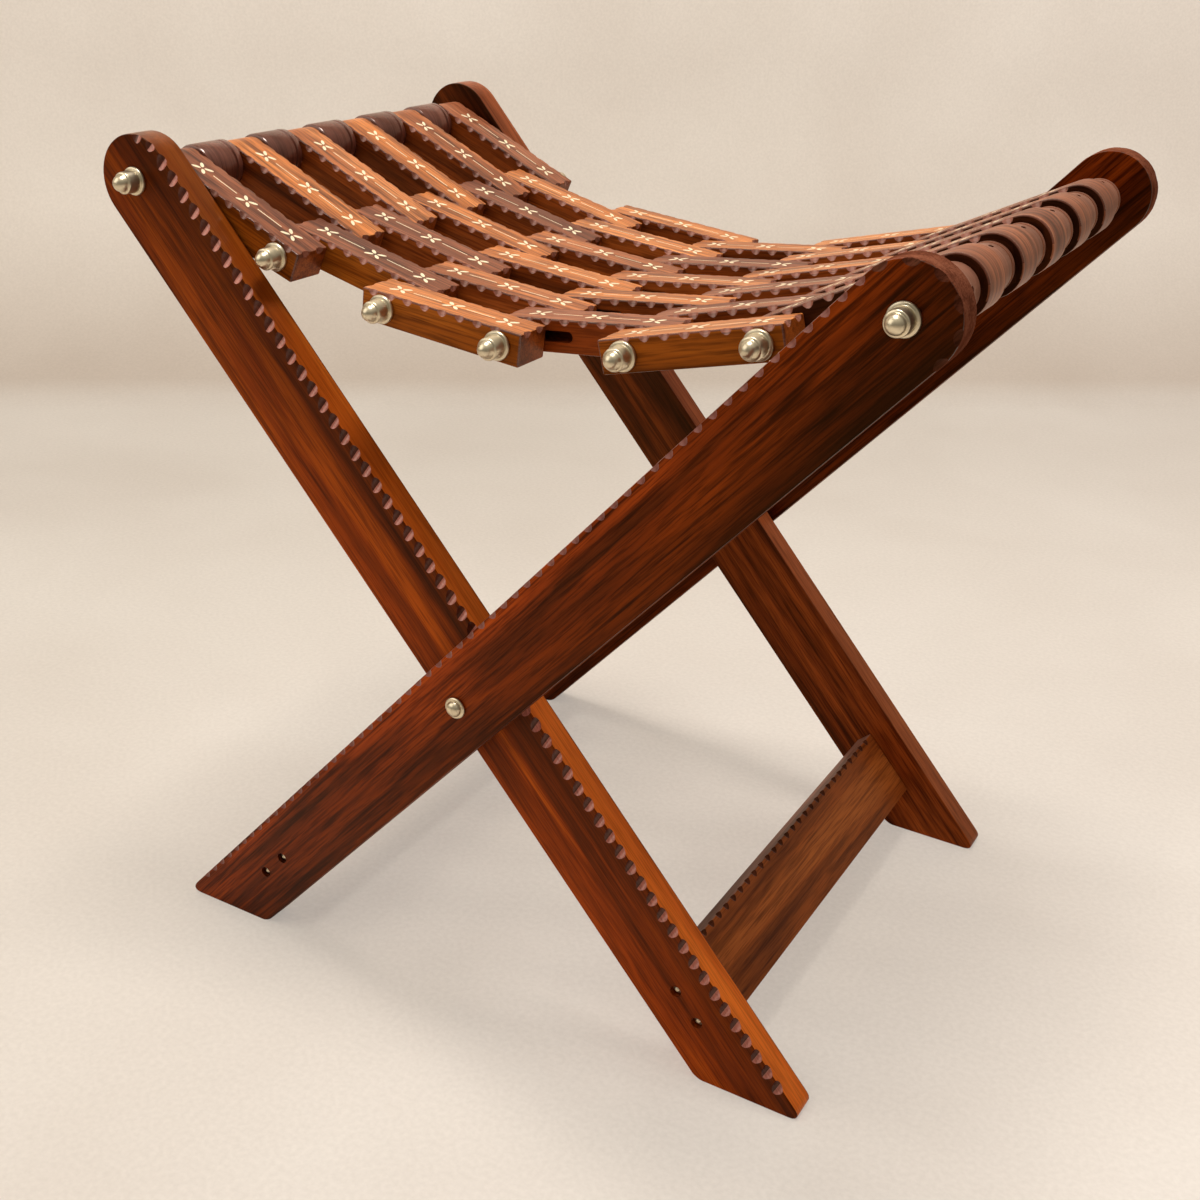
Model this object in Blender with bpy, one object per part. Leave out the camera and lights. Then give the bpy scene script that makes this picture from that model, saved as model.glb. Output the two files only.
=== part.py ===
"""Folding stool: two crossed frames of plank legs carry a seat of wooden slats hinged on rods.

Metres. +X is the stool's right, -Y its front and +Z up. The origin lies on the floor below the
middle of the pivot axis. The left frame is the inner one and folds between the outer legs.
"""
import math

import bmesh
import bpy

for leftover in list(bpy.data.objects):
    bpy.data.objects.remove(leftover, do_unlink=True)

# Fits
TOUCH_GAP = 0.0003
RUNNING_CLEARANCE = 0.0003
FRAME_GAP = 0.0015

# Frames
LEG_WIDTH = 0.0465
LEG_THICKNESS = 0.017
LEG_EDGE = 0.0012
LEG_LEAN = math.radians(41.8)
FOOT_ROUNDING = 0.004
PIVOT_HEIGHT = 0.192
PIVOT_TO_TOP_ROD = 0.317
FOOT_TO_STRETCHER = 0.0595
STRETCHER_WIDTH = 0.045
STRETCHER_THICKNESS = 0.012
STRETCHER_EDGE = 0.001
SCREW_DIAMETER = 0.0058
SCREW_SPACING = 0.02
SCREW_RECESS = 0.0015

# Seat
SLOTS = 11
SLAT_THICKNESS = 0.0232
SLAT_GAP = 0.0014
SLAT_HEIGHT = 0.0165
SLAT_EDGE = 0.0008
SLAT_CORNER = 0.0015
SLAT_PITCH = 0.069
SLAT_OVERHANG = 0.0125
LEFT_END_RADIUS = 0.0118
RIGHT_END_RADIUS = 0.0146
ROW_SLOPES = (math.radians(22.66), math.radians(14.0), math.radians(5.6))
SLIDE_INWARD = 0.355 * SLAT_PITCH
SLIDE_OUTWARD = 0.055 * SLAT_PITCH
LEFT_SPACER_RADIUS = 0.0132
RIGHT_SPACER_RADIUS = 0.0117
SPACER_EDGE = 0.001
SPACER_NECK_RADIUS = 0.0055

# Rods, nuts and bolts
ROD_DIAMETER = 0.005
NUT_FLANGE_DIAMETER = 0.0146
NUT_FLANGE_THICKNESS = 0.0018
NUT_BASE_DIAMETER = 0.0118
NUT_SHOULDER_DIAMETER = 0.0098
NUT_BODY_LENGTH = 0.0077
NUT_DOME_RADIUS = 0.0046
BOLT_DIAMETER = 0.006
BOLT_FLANGE_DIAMETER = 0.0116
BOLT_FLANGE_THICKNESS = 0.0014
BOLT_DOME_DIAMETER = 0.0086
BOLT_DOME_HEIGHT = 0.0032
BOLT_NUT_DIAMETER = 0.0104
BOLT_NUT_THICKNESS = 0.004

# Facets
ROUND_SIDES = 12
RING_SIDES = 18
CORNER_STEPS = 2
ROUND_STEPS = 8
DOME_STEPS = 3
SHARP_ANGLE = math.radians(35.0)
MERGE = 0.00001

# Places that follow from the sizes above
HOLE_RADIUS = ROD_DIAMETER / 2 + RUNNING_CLEARANCE
BOLT_HOLE_RADIUS = BOLT_DIAMETER / 2 + RUNNING_CLEARANCE
SCREW_HOLE_RADIUS = SCREW_DIAMETER / 2 + TOUCH_GAP
SLOT_PITCH = SLAT_THICKNESS + SLAT_GAP
SEAT_HALF = (SLOTS * SLOT_PITCH - SLAT_GAP) / 2
FOOT_REACH = PIVOT_HEIGHT / math.cos(LEG_LEAN)
PIVOT_TO_STRETCHER = FOOT_REACH - FOOT_TO_STRETCHER
INNER_LEG_IN = SEAT_HALF + SLAT_GAP
INNER_LEG_OUT = INNER_LEG_IN + LEG_THICKNESS
OUTER_LEG_IN = INNER_LEG_OUT + FRAME_GAP
OUTER_LEG_OUT = OUTER_LEG_IN + LEG_THICKNESS
MIDDLE_SPAN = SLAT_PITCH * (math.cos(ROW_SLOPES[1]) + math.cos(ROW_SLOPES[2]))
END_SPAN = PIVOT_TO_TOP_ROD * math.sin(LEG_LEAN) - MIDDLE_SPAN
END_PITCH = END_SPAN / math.cos(ROW_SLOPES[0])


def material(name, colour, roughness, metallic=0.0):
    """A plain Principled material."""
    made = bpy.data.materials.new(name)
    made.use_nodes = True
    shader = made.node_tree.nodes["Principled BSDF"]
    shader.inputs["Base Color"].default_value = (*colour, 1.0)
    shader.inputs["Roughness"].default_value = roughness
    shader.inputs["Metallic"].default_value = metallic
    return made


LEG_WOOD = material("leg_wood", (0.10, 0.032, 0.018), 0.3)
STRETCHER_WOOD = material("stretcher_wood", (0.13, 0.05, 0.03), 0.38)
DARK_SLAT_WOOD = material("dark_slat_wood", (0.20, 0.085, 0.06), 0.45)
LIGHT_SLAT_WOOD = material("light_slat_wood", (0.32, 0.13, 0.06), 0.45)
LEFT_SPACER_WOOD = material("left_spacer_wood", (0.075, 0.027, 0.018), 0.35)
RIGHT_SPACER_WOOD = material("right_spacer_wood", (0.19, 0.09, 0.065), 0.42)
BRASS = material("brass", (0.78, 0.62, 0.36), 0.25, 1.0)


def empty(name, parent, place, turn):
    """An axis that pieces hang on."""
    made = bpy.data.objects.new(name, None)
    made.empty_display_size = LEG_WIDTH
    made.parent = parent
    made.location = place
    made.rotation_euler = turn
    bpy.context.collection.objects.link(made)
    return made


def piece(name, shape, wood, parent, place, turn=0.0):
    """Turn a finished shape into a named object; turn is about the upright axis."""
    bmesh.ops.recalc_face_normals(shape, faces=shape.faces[:])
    mesh = bpy.data.meshes.new(name)
    shape.to_mesh(mesh)
    shape.free()
    mesh.materials.append(wood)
    mesh.shade_smooth()
    mesh.set_sharp_from_angle(angle=SHARP_ANGLE)
    made = bpy.data.objects.new(name, mesh)
    made.parent = parent
    made.location = place
    made.rotation_euler = (0.0, 0.0, turn)
    bpy.context.collection.objects.link(made)
    return made


def arc(centre, radius, start, sweep, steps):
    """Points of an arc in the board's plane."""
    turns = [start + sweep * step / steps for step in range(steps + 1)]
    return [(centre[0] + radius * math.cos(a), centre[1] + radius * math.sin(a)) for a in turns]


def inward(first, second):
    """Unit normal to the left of the edge between two corners."""
    along = (second[0] - first[0], second[1] - first[1])
    length = math.hypot(*along)
    return (-along[1] / length, along[0] / length)


def rim(corners, inset):
    """Outline of a board from (u, v, rounding, steps) corners, drawn in by the inset."""
    points = []
    for index, corner in enumerate(corners):
        before = inward(corners[index - 1], corner)
        after = inward(corner, corners[(index + 1) % len(corners)])
        facing = 1.0 + before[0] * after[0] + before[1] * after[1]
        centre = (
            corner[0] + corner[2] * (before[0] + after[0]) / facing,
            corner[1] + corner[2] * (before[1] + after[1]) / facing,
        )
        start = math.atan2(-before[1], -before[0])
        sweep = math.acos(facing - 1.0)
        points += arc(centre, corner[2] - inset, start, sweep, corner[3])
    # Two roundings that meet share a point, which is kept once
    pairs = zip(points[-1:] + points, points)
    return [point for last, point in pairs if math.dist(last, point) > MERGE]


def bore(centre, radius):
    """Outline of a round hole."""
    return arc(centre, radius, 0.0, math.tau, ROUND_SIDES)[:-1]


def slide(low, high, radius):
    """Outline of a hole drawn out into a straight slot between two rod places."""
    half = ROUND_SIDES // 2
    far = arc((high, 0.0), radius, -math.pi / 2, math.pi, half)
    return far + arc((low, 0.0), radius, math.pi / 2, math.pi, half)


def ring(shape, points, depth):
    """Closed row of corners at one depth through a board."""
    return [shape.verts.new((u, depth, v)) for u, v in points]


def wall(shape, first, second):
    """Faces between two rows of the same count."""
    for index in range(len(first)):
        pair = (index - 1, index)
        corners = (first[pair[0]], first[pair[1]], second[pair[1]], second[pair[0]])
        shape.faces.new(corners)


def cover(shape, rows):
    """Flat face inside the first row, left open at the others."""
    edges = []
    for row in rows:
        for index in range(len(row)):
            edges.append(shape.edges.get((row[index - 1], row[index])))
    bmesh.ops.triangle_fill(shape, use_beauty=True, use_dissolve=False, edges=edges)


def board(corners, holes, thickness, edge):
    """Plank with chamfered edges, middle plane at depth zero, pierced by straight holes."""
    shape = bmesh.new()
    half = thickness / 2
    depths = ((-half, edge), (edge - half, 0.0), (half - edge, 0.0), (half, edge))
    rims = [ring(shape, rim(corners, inset), depth) for depth, inset in depths]
    for first, second in zip(rims, rims[1:]):
        wall(shape, first, second)
    fronts = [ring(shape, hole, -half) for hole in holes]
    backs = [ring(shape, hole, half) for hole in holes]
    for first, second in zip(fronts, backs):
        wall(shape, first, second)
    cover(shape, [rims[0]] + fronts)
    cover(shape, [rims[-1]] + backs)
    return shape


def turned(profile, sides, hollow=False):
    """Piece turned about the rod's axis from (depth, radius) points."""
    shape = bmesh.new()
    corners = [shape.verts.new((radius, depth, 0.0)) for depth, radius in profile]
    edges = [shape.edges.new(pair) for pair in zip(corners, corners[1:])]
    if hollow:
        edges.append(shape.edges.new((corners[-1], corners[0])))
    bmesh.ops.spin(
        shape,
        geom=corners + edges,
        cent=(0.0, 0.0, 0.0),
        axis=(0.0, 1.0, 0.0),
        angle=math.tau,
        steps=sides,
    )
    bmesh.ops.remove_doubles(shape, verts=shape.verts[:], dist=MERGE)
    return shape


# Legs: a plank with a round top on the top rod and a foot cut level with the floor
def leg_corners(side):
    """Leg outline about the pivot; side is +1 for the frame that leans right, -1 for the left."""
    half = LEG_WIDTH / 2
    top = PIVOT_TO_TOP_ROD + half
    drop = side * half * math.tan(LEG_LEAN)
    return (
        (-half, -FOOT_REACH - drop, FOOT_ROUNDING, CORNER_STEPS),
        (half, -FOOT_REACH + drop, FOOT_ROUNDING, CORNER_STEPS),
        (half, top, half, ROUND_STEPS),
        (-half, top, half, ROUND_STEPS),
    )


def leg(name, side, frame, depth):
    """One leg with its rod, pivot and screw holes."""
    holes = [
        bore((0.0, PIVOT_TO_TOP_ROD), HOLE_RADIUS),
        bore((0.0, 0.0), BOLT_HOLE_RADIUS),
    ]
    for sign in (-1, 1):
        height = sign * SCREW_SPACING / 2 - PIVOT_TO_STRETCHER
        holes.append(bore((0.0, height), SCREW_HOLE_RADIUS))
    shape = board(leg_corners(side), holes, LEG_THICKNESS, LEG_EDGE)
    piece(name, shape, LEG_WOOD, frame, (0.0, depth, 0.0))


def stretcher(name, frame, leg_in):
    """Cross plank between the two legs of a frame, with a pair of screws in each end."""
    half = leg_in - TOUCH_GAP
    tip = leg_in + LEG_THICKNESS - SCREW_RECESS
    thick = STRETCHER_THICKNESS / 2
    wide = STRETCHER_WIDTH / 2
    corners = [
        (-thick, -wide, STRETCHER_EDGE, CORNER_STEPS),
        (thick, -wide, STRETCHER_EDGE, CORNER_STEPS),
        (thick, wide, STRETCHER_EDGE, CORNER_STEPS),
        (-thick, wide, STRETCHER_EDGE, CORNER_STEPS),
    ]
    shape = bmesh.new()
    outline = rim(corners, 0.0)
    ends = [ring(shape, outline, -half), ring(shape, outline, half)]
    wall(shape, *ends)
    for end, sign in zip(ends, (-1, 1)):
        screws = []
        for height in (-SCREW_SPACING / 2, SCREW_SPACING / 2):
            outline = bore((0.0, height), SCREW_DIAMETER / 2)
            root = ring(shape, outline, sign * half)
            head = ring(shape, outline, sign * tip)
            wall(shape, root, head)
            shape.faces.new(head)
            screws.append(root)
        cover(shape, [end] + screws)
    piece(name, shape, STRETCHER_WOOD, frame, (0.0, 0.0, -PIVOT_TO_STRETCHER))


def dome(base, radius, height):
    """Rounded tip as (depth, radius) points, from its pole down to its base."""
    points = []
    for step in range(DOME_STEPS + 1):
        rise = math.pi / 2 * (1.0 - step / DOME_STEPS)
        points.append((base + height * math.sin(rise), radius * math.cos(rise)))
    points[0] = (base + height, 0.0)
    return points


def rod(name, seat, parent, place):
    """Rod with a flanged domed nut on each end, bearing on faces at plus and minus the seat."""
    start = seat + TOUCH_GAP
    flange = start + NUT_FLANGE_THICKNESS
    shoulder = flange + NUT_BODY_LENGTH
    end = dome(shoulder, NUT_DOME_RADIUS, NUT_DOME_RADIUS)
    end += [
        (shoulder, NUT_SHOULDER_DIAMETER / 2),
        (flange, NUT_BASE_DIAMETER / 2),
        (flange, NUT_FLANGE_DIAMETER / 2),
        (start, NUT_FLANGE_DIAMETER / 2),
        (start, ROD_DIAMETER / 2),
    ]
    profile = [(-depth, radius) for depth, radius in end] + end[::-1]
    piece(name, turned(profile, ROUND_SIDES), BRASS, parent, place)


def pivot_bolt(name, frame, turn):
    """Bolt through a pair of legs: domed head outside, plain nut inside."""
    face = OUTER_LEG_OUT + TOUCH_GAP
    flange = face + BOLT_FLANGE_THICKNESS
    back = INNER_LEG_IN - TOUCH_GAP
    profile = dome(flange, BOLT_DOME_DIAMETER / 2, BOLT_DOME_HEIGHT)
    profile += [
        (flange, BOLT_FLANGE_DIAMETER / 2),
        (face, BOLT_FLANGE_DIAMETER / 2),
        (face, BOLT_DIAMETER / 2),
        (back, BOLT_DIAMETER / 2),
        (back, BOLT_NUT_DIAMETER / 2),
        (back - BOLT_NUT_THICKNESS, BOLT_NUT_DIAMETER / 2),
        (back - BOLT_NUT_THICKNESS, 0.0),
    ]
    piece(name, turned(profile, ROUND_SIDES), BRASS, frame, (0.0, 0.0, 0.0), turn)


# Slats: hinged end to end, those of the end rows widening to a round end on the top rod
def round_end_corners(pitch, radius):
    """Outline of an end slat: its long edges are tangents to the round end."""
    end = pitch + SLAT_OVERHANG
    half = SLAT_HEIGHT / 2
    steep = math.atan2(half, end) + math.acos(radius / math.hypot(end, half))
    tall = radius * (1.0 + math.cos(steep)) / math.sin(steep)
    return (
        (-radius, -tall, radius, ROUND_STEPS),
        (end, -half, SLAT_CORNER, CORNER_STEPS),
        (end, half, SLAT_CORNER, CORNER_STEPS),
        (-radius, tall, radius, ROUND_STEPS),
    )


def blunt_corners(pitch):
    """Outline of a slat cut square past both of its rods."""
    half = SLAT_HEIGHT / 2
    return (
        (-SLAT_OVERHANG, -half, SLAT_CORNER, CORNER_STEPS),
        (pitch + SLAT_OVERHANG, -half, SLAT_CORNER, CORNER_STEPS),
        (pitch + SLAT_OVERHANG, half, SLAT_CORNER, CORNER_STEPS),
        (-SLAT_OVERHANG, half, SLAT_CORNER, CORNER_STEPS),
    )


def slot_depth(slot):
    """Middle of a place for a slat, counted from the front."""
    return (slot - (SLOTS + 1) / 2) * SLOT_PITCH


def seat_row(number, axis, slots, corners, far_hole):
    """Slats of one row, side by side in every other slot."""
    holes = [bore((0.0, 0.0), HOLE_RADIUS), far_hole]
    for count, slot in enumerate(slots, 1):
        wood = DARK_SLAT_WOOD if (count + number) % 2 else LIGHT_SLAT_WOOD
        shape = board(corners, holes, SLAT_THICKNESS, SLAT_EDGE)
        name = f"row_{number}_slat_{count}"
        # Rows on the right look back along the rods, so their depth is turned about
        depth = slot_depth(slot) if number <= len(ROW_SLOPES) else -slot_depth(slot)
        piece(name, shape, wood, axis, (0.0, depth, 0.0))


def spacer(name, wood, frame, slot, radius, reach=None):
    """Ring on a top rod in an empty slot; reach draws out a slim neck to the leg beyond it."""
    half = SLAT_THICKNESS / 2 + SLAT_GAP - TOUCH_GAP
    profile = [
        (-half, HOLE_RADIUS),
        (-half, radius - SPACER_EDGE),
        (SPACER_EDGE - half, radius),
        (half - SPACER_EDGE, radius),
        (half, radius - SPACER_EDGE),
        (half, HOLE_RADIUS),
    ]
    if reach:
        leg_face = reach - abs(slot_depth(slot)) - TOUCH_GAP
        neck = [(half, SPACER_NECK_RADIUS), (leg_face, SPACER_NECK_RADIUS)]
        profile[-1:] = neck + [(leg_face, HOLE_RADIUS)]
    turn = math.pi if slot_depth(slot) < 0 else 0.0
    place = (0.0, slot_depth(slot), PIVOT_TO_TOP_ROD)
    piece(name, turned(profile, RING_SIDES, hollow=True), wood, frame, place, turn)


odd_slots = range(1, SLOTS + 1, 2)
even_slots = range(2, SLOTS + 1, 2)
pivot = (0.0, 0.0, PIVOT_HEIGHT)
right_frame = empty("right_frame", None, pivot, (0.0, LEG_LEAN, 0.0))
left_frame = empty("left_frame", None, pivot, (0.0, -LEG_LEAN, 0.0))

leg("leg_front_right", 1, right_frame, -(OUTER_LEG_IN + OUTER_LEG_OUT) / 2)
leg("leg_rear_right", 1, right_frame, (OUTER_LEG_IN + OUTER_LEG_OUT) / 2)
leg("leg_front_left", -1, left_frame, -(INNER_LEG_IN + INNER_LEG_OUT) / 2)
leg("leg_rear_left", -1, left_frame, (INNER_LEG_IN + INNER_LEG_OUT) / 2)
stretcher("stretcher_right", right_frame, OUTER_LEG_IN)
stretcher("stretcher_left", left_frame, INNER_LEG_IN)
pivot_bolt("pivot_bolt_rear", right_frame, 0.0)
pivot_bolt("pivot_bolt_front", right_frame, math.pi)

top = (0.0, 0.0, PIVOT_TO_TOP_ROD)
rod("top_rod_left", INNER_LEG_OUT, left_frame, top)
rod("top_rod_right", OUTER_LEG_OUT, right_frame, top)
for count, slot in enumerate(even_slots, 1):
    spacer(f"left_spacer_{count}", LEFT_SPACER_WOOD, left_frame, slot, LEFT_SPACER_RADIUS)
for count, slot in enumerate(odd_slots, 1):
    reach = OUTER_LEG_IN if slot in (1, SLOTS) else None
    name = f"right_spacer_{count}"
    spacer(name, RIGHT_SPACER_WOOD, right_frame, slot, RIGHT_SPACER_RADIUS, reach)

# Each half of the seat is a chain of three rows hung from its top rod towards the middle
near = (0.0, 0.0, 0.0)
far_middle = (SLAT_PITCH, 0.0, 0.0)
far_end = (END_PITCH, 0.0, 0.0)
end_hole = bore((END_PITCH, 0.0), HOLE_RADIUS)
middle_hole = bore((SLAT_PITCH, 0.0), HOLE_RADIUS)
sliding_hole = slide(SLAT_PITCH - SLIDE_INWARD, SLAT_PITCH + SLIDE_OUTWARD, HOLE_RADIUS)
second_bend = (0.0, ROW_SLOPES[1] - ROW_SLOPES[0], 0.0)
third_bend = (0.0, ROW_SLOPES[2] - ROW_SLOPES[1], 0.0)
first_turn = ROW_SLOPES[0] + LEG_LEAN

row_1 = empty("row_1", left_frame, top, (0.0, first_turn, 0.0))
row_2 = empty("row_2", row_1, far_end, second_bend)
row_3 = empty("row_3", row_2, far_middle, third_bend)
seat_row(1, row_1, odd_slots, round_end_corners(END_PITCH, LEFT_END_RADIUS), end_hole)
seat_row(2, row_2, even_slots, blunt_corners(SLAT_PITCH), middle_hole)
seat_row(3, row_3, odd_slots, blunt_corners(SLAT_PITCH), middle_hole)

row_6 = empty("row_6", right_frame, top, (0.0, first_turn, math.pi))
row_5 = empty("row_5", row_6, far_end, second_bend)
row_4 = empty("row_4", row_5, far_middle, third_bend)
seat_row(6, row_6, even_slots, round_end_corners(END_PITCH, RIGHT_END_RADIUS), end_hole)
seat_row(5, row_5, odd_slots, blunt_corners(SLAT_PITCH), middle_hole)
seat_row(4, row_4, even_slots, blunt_corners(SLAT_PITCH), sliding_hole)

rod("seat_rod_1", SEAT_HALF, row_1, far_end)
rod("seat_rod_2", SEAT_HALF, row_3, near)
rod("seat_rod_3", SEAT_HALF, row_3, far_middle)
rod("seat_rod_4", SEAT_HALF, row_5, far_middle)
rod("seat_rod_5", SEAT_HALF, row_5, near)
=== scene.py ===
"""Folding stool in carved dark wood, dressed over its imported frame."""

import math

import bpy
from mathutils import Matrix, Vector


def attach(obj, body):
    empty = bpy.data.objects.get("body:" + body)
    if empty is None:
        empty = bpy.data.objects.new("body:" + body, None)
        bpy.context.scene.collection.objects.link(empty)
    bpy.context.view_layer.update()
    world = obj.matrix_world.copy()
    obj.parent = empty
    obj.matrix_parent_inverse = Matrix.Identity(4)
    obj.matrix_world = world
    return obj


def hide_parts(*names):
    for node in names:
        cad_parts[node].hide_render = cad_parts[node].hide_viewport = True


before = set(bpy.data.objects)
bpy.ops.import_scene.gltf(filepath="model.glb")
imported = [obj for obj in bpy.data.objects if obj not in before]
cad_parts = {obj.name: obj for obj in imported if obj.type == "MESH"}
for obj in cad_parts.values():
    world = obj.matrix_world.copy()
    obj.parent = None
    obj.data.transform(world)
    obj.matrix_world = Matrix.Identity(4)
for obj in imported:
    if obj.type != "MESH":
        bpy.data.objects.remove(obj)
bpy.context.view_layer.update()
scene = bpy.context.scene
scene.view_settings.view_transform = "Standard"

# Sizes of the stool, in metres
LEG_WIDTH = 0.0465
LEG_THICKNESS = 0.017
LEG_LEAN = math.radians(41.8)
FRAME_GAP = 0.0015
PIVOT_HEIGHT = 0.192
TOP_ROD = 0.317
STRETCHER_DROP = PIVOT_HEIGHT / math.cos(LEG_LEAN) - 0.0595
STRETCHER_WIDTH = 0.045
STRETCHER_THICKNESS = 0.012
SCREW_SPACING = 0.02
SLOTS = 11
SLAT_THICKNESS = 0.0232
SLAT_GAP = 0.0014
SLAT_HEIGHT = 0.0165
SLAT_PITCH = 0.069
SLAT_OVERHANG = 0.0125
LEFT_END_RADIUS = 0.0118
RIGHT_END_RADIUS = 0.0146
LEFT_SPACER_RADIUS = 0.0132
RIGHT_SPACER_RADIUS = 0.0117
SPACER_NECK_RADIUS = 0.0055
SLOPES = [math.radians(22.66), math.radians(14.0), math.radians(5.6)]
ROD_RADIUS = 0.0025
HOLE_RADIUS = 0.0028
BOLT_RADIUS = 0.003
TOUCH = 0.0003

SLOT_PITCH = SLAT_THICKNESS + SLAT_GAP
SEAT_HALF = (SLOTS * SLOT_PITCH - SLAT_GAP) / 2
INNER_IN = SEAT_HALF + SLAT_GAP
INNER_OUT = INNER_IN + LEG_THICKNESS
OUTER_IN = INNER_OUT + FRAME_GAP
OUTER_OUT = OUTER_IN + LEG_THICKNESS
MIDDLE_SPAN = SLAT_PITCH * (math.cos(SLOPES[1]) + math.cos(SLOPES[2]))
END_PITCH = (TOP_ROD * math.sin(LEG_LEAN) - MIDDLE_SPAN) / math.cos(SLOPES[0])

PIVOT = Matrix.Translation((0.0, 0.0, PIVOT_HEIGHT))
FRAME_PLACE = {
    "left_frame": PIVOT @ Matrix.Rotation(-LEG_LEAN, 4, "Y"),
    "right_frame": PIVOT @ Matrix.Rotation(LEG_LEAN, 4, "Y"),
}


def row_places():
    """Where each row of slats hangs: local X runs down its slats, local Z out of their tops."""
    places = {}
    for numbers, body, turn in (((1, 2, 3), "left_frame", 0.0), ((6, 5, 4), "right_frame", math.pi)):
        hinge = FRAME_PLACE[body] @ Vector((0.0, 0.0, TOP_ROD))
        for number, slope, pitch in zip(numbers, SLOPES, (END_PITCH, SLAT_PITCH, SLAT_PITCH)):
            lie = Matrix.Rotation(turn, 4, "Z") @ Matrix.Rotation(slope, 4, "Y")
            places[number] = Matrix.Translation(hinge) @ lie
            hinge = places[number] @ Vector((pitch, 0.0, 0.0))
    return places


ROW_PLACE = row_places()


# Finishes
PLAIN = (1.0, 1.0, 1.0)
WARM_SHEEN = (1.0, 0.48, 0.15)
PALE_SHEEN = (1.0, 0.8, 0.74)
STREAK_TONES = ((0.36, (0.33, 0.27, 0.24)), (0.49, PLAIN), (0.7, (1.22, 1.25, 1.22)))
PORE_TONES = ((0.38, (0.36, 0.3, 0.27)), (0.51, PLAIN), (0.7, (1.28, 1.28, 1.2)))
FIGURE_STRETCH = (3.6, 52.0, 52.0)
STREAK_STRETCH = (11.0, 300.0, 300.0)
PORE_STRETCH = (48.0, 1150.0, 1150.0)
PORE_DEPTH = 0.0003
PORE_STRENGTH = 0.12
MARK_STRETCH = (260.0, 260.0, 260.0)
DULL_SHARE = 0.86


def finish(name, rough, metal=0.0):
    """An empty finish: its nodes, its links and its shader."""
    made = bpy.data.materials.new(name)
    made.use_nodes = True
    nodes = made.node_tree.nodes
    shader = nodes["Principled BSDF"]
    shader.inputs["Roughness"].default_value = rough
    shader.inputs["Metallic"].default_value = metal
    return made, nodes, made.node_tree.links, shader


def ramp(nodes, stops):
    """Colour ramp from (place, colour) stops."""
    made = nodes.new("ShaderNodeValToRGB")
    for index, (place, colour) in enumerate(stops):
        if index < 2:
            stop = made.color_ramp.elements[index]
        else:
            stop = made.color_ramp.elements.new(place)
        stop.position = place
        stop.color = (*colour, 1.0)
    return made


def stretched_noise(nodes, links, source, stretch, detail, twist):
    """Noise drawn out along the grain."""
    mapping = nodes.new("ShaderNodeMapping")
    mapping.inputs["Scale"].default_value = stretch
    noise = nodes.new("ShaderNodeTexNoise")
    noise.inputs["Scale"].default_value = 1.0
    noise.inputs["Detail"].default_value = detail
    noise.inputs["Distortion"].default_value = twist
    links.new(source, mapping.inputs["Vector"])
    links.new(mapping.outputs["Vector"], noise.inputs["Vector"])
    return noise.outputs["Fac"]


def attribute(nodes, name):
    """Reads a value stored on the piece."""
    made = nodes.new("ShaderNodeAttribute")
    made.attribute_name = name
    return made


def times(nodes, links, first, second, share):
    """Two colours multiplied, the second by a share."""
    mix = nodes.new("ShaderNodeMix")
    mix.data_type = "RGBA"
    mix.blend_type = "MULTIPLY"
    mix.inputs[0].default_value = share
    links.new(first, mix.inputs[6])
    links.new(second, mix.inputs[7])
    return mix.outputs[2]


def graded(nodes, links, colour, value, stops, share=1.0):
    """A colour multiplied by a ramp that reads a value."""
    run = ramp(nodes, stops)
    links.new(value, run.inputs["Fac"])
    return times(nodes, links, colour, run.outputs["Color"], share)


def shades(nodes, links, colour, name, values):
    """Shade a colour by a value stored on the piece, given for its low, middle and high end."""
    stops = [(place, (value, value, value)) for place, value in zip((0.1, 0.5, 0.9), values)]
    return graded(nodes, links, colour, attribute(nodes, name).outputs["Fac"], stops)


def wood(name, dark, body, light, rough, gloss, tint=WARM_SHEEN, streaks=0.6, across=None, rise=None):
    """Grained wood: broad figure, narrow streaks, fine pores and a little relief along the grain.

    Across darkens or lightens the colour from a leg's plain edge to its carved edge. Rise is painted light
    and shade from the leg's foot to its crown: lighter low down, darker towards the crown where the seat
    shades the leg.
    """
    made, nodes, links, shader = finish(name, rough)
    shader.inputs["Specular IOR Level"].default_value = gloss
    shader.inputs["Specular Tint"].default_value = (*tint, 1.0)
    source = attribute(nodes, "grain").outputs["Vector"]
    broad = stretched_noise(nodes, links, source, FIGURE_STRETCH, 5.0, 0.7)
    colour = ramp(nodes, ((0.33, dark), (0.5, body), (0.66, light)))
    links.new(broad, colour.inputs["Fac"])
    narrow = stretched_noise(nodes, links, source, STREAK_STRETCH, 4.0, 0.6)
    pores = stretched_noise(nodes, links, source, PORE_STRETCH, 2.0, 0.0)
    mixed = graded(nodes, links, colour.outputs["Color"], narrow, STREAK_TONES, streaks)
    mixed = graded(nodes, links, mixed, pores, PORE_TONES, 0.2 + 0.55 * streaks)
    if across:
        mixed = shades(nodes, links, mixed, "edge", across)
    if rise:
        mixed = shades(nodes, links, mixed, "rise", rise)
    links.new(mixed, shader.inputs["Base Color"])
    bump = nodes.new("ShaderNodeBump")
    bump.inputs["Strength"].default_value = PORE_STRENGTH
    bump.inputs["Distance"].default_value = PORE_DEPTH
    links.new(pores, bump.inputs["Height"])
    links.new(bump.outputs["Normal"], shader.inputs["Normal"])
    return made


def metal(name, colour, rough, share=1.0):
    """Turned metal with faint handling marks."""
    made, nodes, links, shader = finish(name, rough, share)
    where = nodes.new("ShaderNodeTexCoord")
    marks = stretched_noise(nodes, links, where.outputs["Object"], MARK_STRETCH, 3.0, 0.0)
    dull = tuple(channel * DULL_SHARE for channel in colour)
    tone = ramp(nodes, ((0.35, dull), (0.6, colour)))
    links.new(marks, tone.inputs["Fac"])
    links.new(tone.outputs["Color"], shader.inputs["Base Color"])
    return made


# The rise values paint light and shade on the legs: lighter low down, darker towards the crown under the
# seat.
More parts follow.
